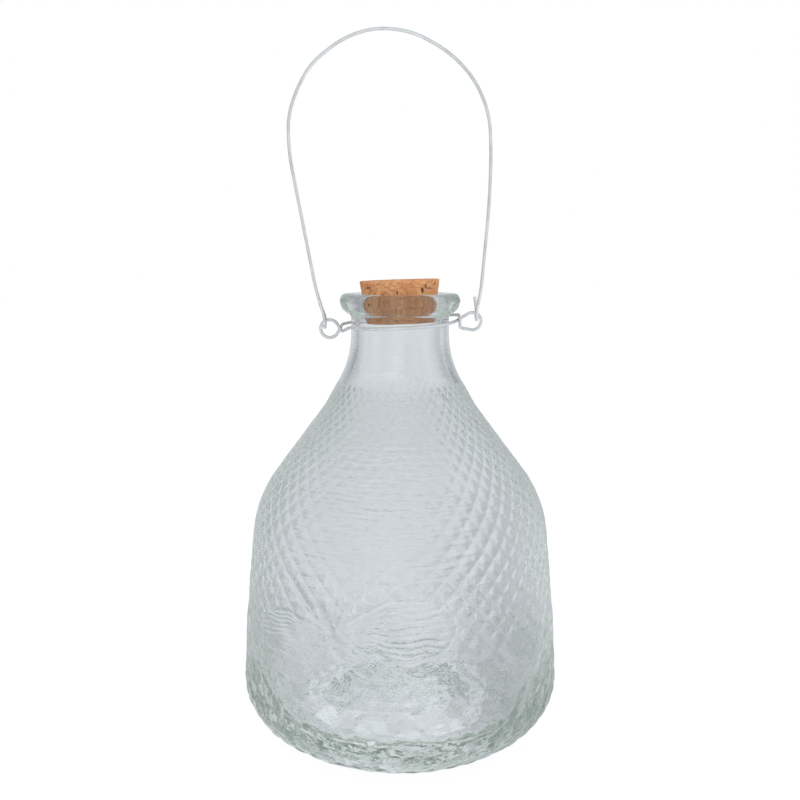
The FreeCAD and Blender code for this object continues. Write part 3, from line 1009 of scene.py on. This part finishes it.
def floor_share(nodes):
    """How bright the floor is to the glass above it: mottled, and shaded where the bottle stands on it."""
    place = nodes.place()
    heading = nodes.add("ShaderNodeVectorMath", {0: place, 1: (0, 0, -MIDDLE)}, operation="ADD").outputs[0]
    heading = nodes.add("ShaderNodeVectorMath", {0: heading}, operation="NORMALIZE").outputs[0]
    near = nodes.span(nodes.parts(heading)[2], *NEAR_SPAN)
    share = nodes.math("MULTIPLY", near, lifted(nodes, uneven(nodes, heading)))
    away = nodes.add("ShaderNodeVectorMath", {0: place}, operation="LENGTH").outputs["Value"]
    off_ring = nodes.math("ABSOLUTE", nodes.math("SUBTRACT", away, CONTACT_RING))
    stood_on = nodes.math("MULTIPLY", nodes.span(off_ring, *RING_SPAN), nodes.span(away, *FOOT_SPAN))
    return nodes.math("MULTIPLY", share, stood_on)


def white_floor():
    """Matt floor, white to the camera and pale grey to what the glass and wires gather."""
    nodes = new_material("pale_floor")
    gathered = nodes.scale(SURROUND, floor_share(nodes))
    nodes.out("Base Color", (*grey(FLOOR_ALBEDO), 1))
    nodes.out("Roughness", 1.0)
    nodes.out("Specular IOR Level", 0.0)
    nodes.out("Emission Color", nodes.mix(nodes.camera_ray(), gathered, (*grey(FLOOR_GLOW), 1)))
    nodes.out("Emission Strength", 1.0)
    corners = [(-1, -1, 0), (1, -1, 0), (1, 1, 0), (-1, 1, 0)]
    floor = mesh_object("floor", np.array(corners) * FLOOR_REACH, [[0, 1, 2, 3]], smooth=False)
    floor.data.materials.append(nodes.owner)


def surround():
    """World that is white to the camera and pale grey, dimmer overhead, to the glass and wires."""
    world = bpy.data.worlds.new("surround")
    bpy.context.scene.world = world
    nodes = Nodes(world)
    direction = nodes.place("Generated")
    overhead = nodes.span(nodes.parts(direction)[2], *OVERHEAD_SPAN)
    share = nodes.math("MULTIPLY", overhead, uneven(nodes, direction))
    gathered = nodes.scale(SURROUND, lifted(nodes, share))
    nodes.out("Color", nodes.mix(nodes.camera_ray(), gathered, (1, 1, 1, 1)))


def area_light(name, place, size, power):
    """Square soft light that faces the middle of the bottle and leaves no hard reflection in the glass."""
    data = bpy.data.lights.new(name, "AREA")
    data.size = size
    data.energy = power
    made = bpy.data.objects.new(name, data)
    bpy.context.scene.collection.objects.link(made)
    made.location = place
    aim = Vector((0, 0, AIM_HEIGHT)) - made.location
    made.rotation_euler = aim.to_track_quat("-Z", "Y").to_euler()
    made.visible_glossy = False
    made.visible_transmission = False


def camera():
    """Camera a little above the neck, looking slightly down."""
    data = bpy.data.cameras.new("camera")
    data.lens = CAMERA_LENS
    data.sensor_width = 36.0
    data.clip_start = 0.01
    made = bpy.data.objects.new("camera", data)
    bpy.context.scene.collection.objects.link(made)
    made.location = (0.0, -CAMERA_DISTANCE, CAMERA_HEIGHT)
    made.rotation_euler = (math.radians(90) - CAMERA_DIP, 0, 0)
    bpy.context.scene.camera = made


# ---- Assembly ------------------------------------------------------------------------------------------
def put(obj, material, body, slot, *nodes):
    """Gives a piece its material and body, and hides the CAD nodes that it stands for; slot is not used."""
    obj.data.materials.clear()
    obj.data.materials.append(material)
    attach(obj, body)
    if nodes:
        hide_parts(*nodes)


def recolour(node, material):
    """Gives a CAD node that stays a better material."""
    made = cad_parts[node]
    made.data.materials.clear()
    made.data.materials.append(material)


bpy.context.scene.view_settings.view_transform = "Standard"
camera()
white_floor()
surround()
area_light("key", place=(-0.7, -0.9, 1.1), size=0.7, power=3.4)
area_light("fill", place=(0.9, -0.5, 0.7), size=0.9, power=1.5)
put(glass_bottle(), glass_material(), "bottle", "glass", "glass_bottle")
put(cork_stopper(), cork_material(), "stopper", "cork", "cork_stopper")
wire = wire_material()
recolour("neck_wire", wire)
recolour("bail_wire", wire)
